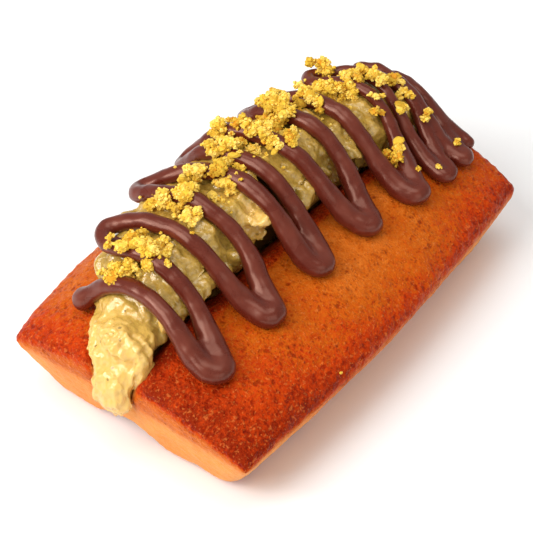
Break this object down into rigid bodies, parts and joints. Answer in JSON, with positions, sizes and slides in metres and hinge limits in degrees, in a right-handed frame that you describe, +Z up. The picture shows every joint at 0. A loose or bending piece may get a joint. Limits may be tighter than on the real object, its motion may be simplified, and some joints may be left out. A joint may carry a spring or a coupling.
{
  "type": "filled financier cake",
  "caption": "Bar-shaped almond financier slit along its top, heaped with pistachio cream, piped with a chocolate zigzag and scattered with pistachio crumble.",
  "frame": {"origin": "on the table under the middle of the bar", "axes": "+X along the bar towards the end with the closer loops, +Y towards the narrow half of the top, +Z up"},
  "size_m": [0.0948, 0.0587, 0.0393],
  "materials": {
    "sponge": "baked almond sponge, golden on top and red-brown towards the rim, slightly moist",
    "cream": "pistachio cream, pale yellow-green, soft and glossy",
    "chocolate": "set dark milk chocolate, satin",
    "crumble": "dry pistachio crumble, golden yellow-green"
  },
  "bodies": {
    "root": {"sponge": "sponge", "cream": "cream", "chocolate": "chocolate"}
  },
  "joints": []
}
